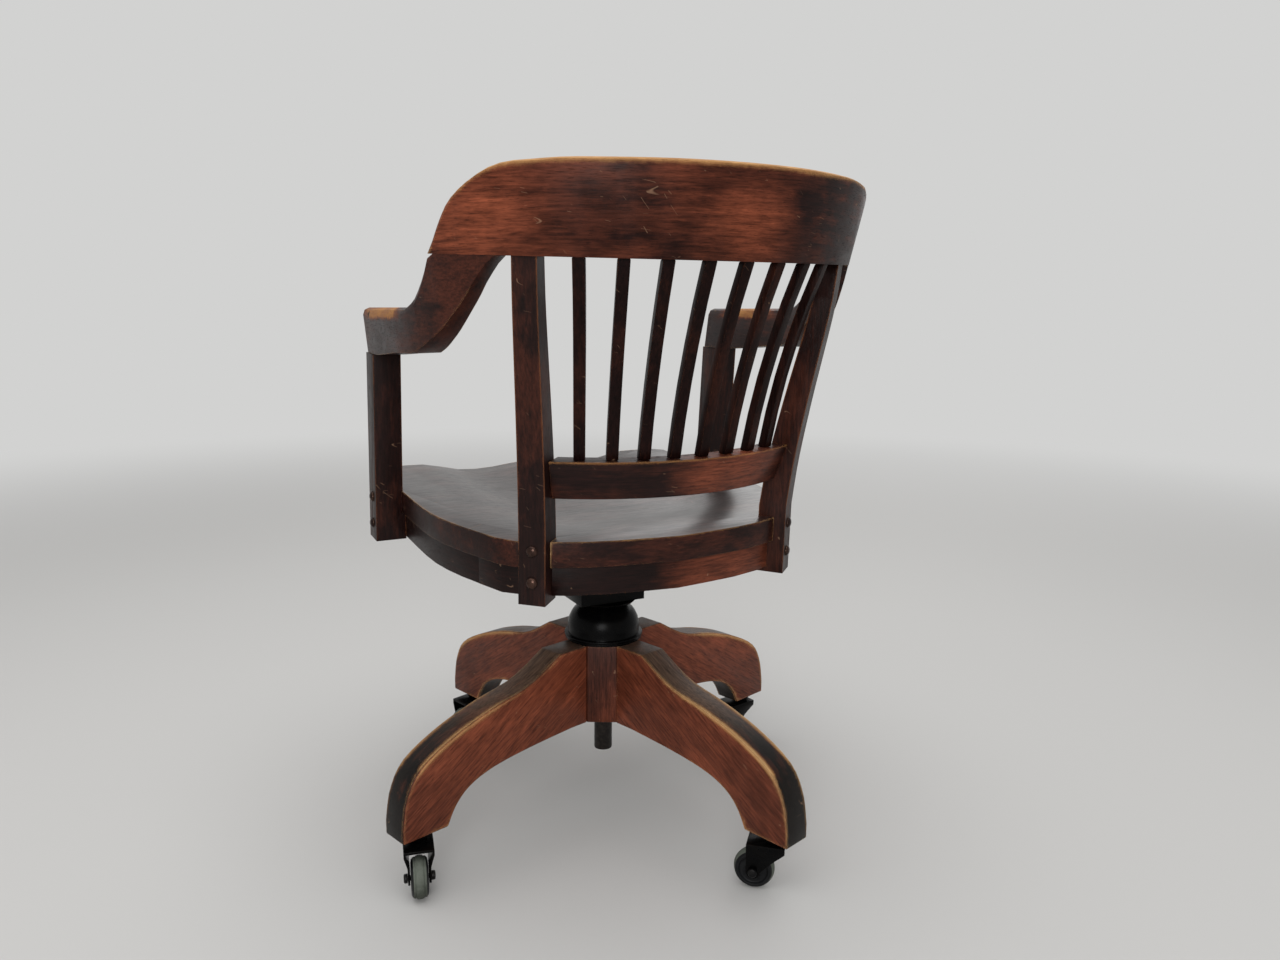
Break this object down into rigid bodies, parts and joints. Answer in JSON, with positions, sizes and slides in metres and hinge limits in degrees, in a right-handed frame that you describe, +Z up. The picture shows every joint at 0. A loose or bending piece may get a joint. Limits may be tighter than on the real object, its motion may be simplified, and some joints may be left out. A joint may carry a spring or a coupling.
{
  "type": "bankers swivel chair",
  "caption": "Dark stained wood swivel armchair with a curved crest rail, slatted back, saddled seat, tilt iron, screw column and curved legs on swivel casters.",
  "frame": {"origin": "on the floor, below the middle of the chair's bounding box", "axes": "+Z up, -Y towards the sitter's front, +X towards the sitter's left"},
  "size_m": [0.6538, 0.6832, 0.8365],
  "materials": {
    "dark_wood": "dark brown stain under worn varnish",
    "red_wood": "red brown stain under worn varnish",
    "black_iron": "black paint",
    "dark_steel": "darkened steel",
    "bronze": "dark bronze",
    "grey_rubber": "worn dark grey"
  },
  "bodies": {
    "base": {"hub": "red_wood", "leg_1": "red_wood", "leg_2": "red_wood", "leg_3": "red_wood", "leg_4": "red_wood", "column_sleeve": "dark_steel", "thrust_washer": "black_iron", "caster_stem_1": "black_iron", "caster_stem_2": "black_iron", "caster_stem_3": "black_iron", "caster_stem_4": "black_iron"},
    "nut": {"adjusting_nut": "black_iron"},
    "spindle": {"screw_spindle": "dark_steel"},
    "yoke": {"tilt_yoke": "black_iron", "tension_spring": "dark_steel"},
    "seat": {"seat_board": "dark_wood", "apron_back": "red_wood", "apron_left": "dark_wood", "apron_right": "dark_wood", "apron_front": "dark_wood", "back_post_left": "dark_wood", "back_post_right": "dark_wood", "front_post_left": "dark_wood", "front_post_right": "dark_wood", "bolt_back_left_lower": "bronze", "bolt_back_left_upper": "bronze", "bolt_back_right_lower": "bronze", "bolt_back_right_upper": "bronze", "bolt_front_left_lower": "bronze", "bolt_front_left_upper": "bronze", "bolt_front_right_lower": "bronze", "bolt_front_right_upper": "bronze", "crest_rail": "dark_wood", "lower_rail": "red_wood", "arm_left": "dark_wood", "arm_right": "dark_wood", "slat_left_1": "dark_wood", "slat_left_2": "dark_wood", "slat_left_3": "dark_wood", "slat_left_4": "dark_wood", "slat_right_1": "dark_wood", "slat_right_2": "dark_wood", "slat_right_3": "dark_wood", "slat_right_4": "dark_wood", "seat_iron": "black_iron", "pivot_pin": "dark_steel"},
    "rod": {"tension_rod": "dark_steel"},
    "knob": {"tension_knob": "black_iron"},
    "caster_1": {"caster_fork_1": "black_iron", "caster_axle_1": "black_iron"},
    "caster_2": {"caster_fork_2": "black_iron", "caster_axle_2": "black_iron"},
    "caster_3": {"caster_fork_3": "black_iron", "caster_axle_3": "black_iron"},
    "caster_4": {"caster_fork_4": "black_iron", "caster_axle_4": "black_iron"},
    "wheel_1": {"caster_wheel_1": "grey_rubber"},
    "wheel_2": {"caster_wheel_2": "grey_rubber"},
    "wheel_3": {"caster_wheel_3": "grey_rubber"},
    "wheel_4": {"caster_wheel_4": "grey_rubber"}
  },
  "joints": [
    {"name": "nut_turn", "type": "hinge", "parent": "base", "child": "nut", "pos_m": [0, -0.01464, 0.27], "axis": [0, 0, 1], "range_deg": [0, 4500]},
    {"name": "seat_height", "type": "slide", "parent": "base", "child": "spindle", "axis": [0, 0, 1], "range_m": [0, 0.0751]},
    {"name": "seat_swivel", "type": "hinge", "parent": "spindle", "child": "yoke", "pos_m": [0, -0.01464, 0.33], "axis": [0, 0, 1], "continuous": true},
    {"name": "seat_tilt", "type": "hinge", "parent": "yoke", "child": "seat", "pos_m": [0, -0.01464, 0.372], "axis": [-1, 0, 0], "range_deg": [0, 15], "stiffness_Nm_per_rad": 120, "springref_deg": -8.59, "deforming": ["tension_spring"]},
    {"name": "rod_hinge", "type": "hinge", "parent": "seat", "child": "rod", "pos_m": [0, -0.0896, 0.37462], "axis": [-1, 0, 0], "range_deg": [-15.1, 0.1]},
    {"name": "knob_turn", "type": "hinge", "parent": "rod", "child": "knob", "pos_m": [0, -0.0896, 0.298], "axis": [0, 0, 1], "continuous": true},
    {"name": "caster_1_swivel", "type": "hinge", "parent": "base", "child": "caster_1", "pos_m": [0.29096, 0.07846, 0.06], "axis": [0, 0, 1], "continuous": true},
    {"name": "caster_2_swivel", "type": "hinge", "parent": "base", "child": "caster_2", "pos_m": [-0.09311, 0.27632, 0.06], "axis": [0, 0, 1], "continuous": true},
    {"name": "caster_3_swivel", "type": "hinge", "parent": "base", "child": "caster_3", "pos_m": [-0.29096, -0.10775, 0.06], "axis": [0, 0, 1], "continuous": true},
    {"name": "caster_4_swivel", "type": "hinge", "parent": "base", "child": "caster_4", "pos_m": [0.09311, -0.30561, 0.06], "axis": [0, 0, 1], "continuous": true},
    {"name": "wheel_1_roll", "type": "hinge", "parent": "caster_1", "child": "wheel_1", "pos_m": [0.29596, 0.10194, 0.02479], "axis": [-0.9781, 0.2079, 0], "continuous": true},
    {"name": "wheel_2_roll", "type": "hinge", "parent": "caster_2", "child": "wheel_2", "pos_m": [-0.07527, 0.26026, 0.02479], "axis": [0.6691, 0.7431, 0], "continuous": true},
    {"name": "wheel_3_roll", "type": "hinge", "parent": "caster_3", "child": "wheel_3", "pos_m": [-0.26733, -0.10358, 0.02479], "axis": [-0.1736, 0.9848, 0], "continuous": true},
    {"name": "wheel_4_roll", "type": "hinge", "parent": "caster_4", "child": "wheel_4", "pos_m": [0.11566, -0.2974, 0.02479], "axis": [-0.342, 0.9397, 0], "continuous": true}
  ],
  "couplings": [
    {"joint": "seat_height", "follows": "nut_turn", "m_per_rad": 0.00095493},
    {"joint": "rod_hinge", "follows": "seat_tilt", "ratio": -1}
  ]
}
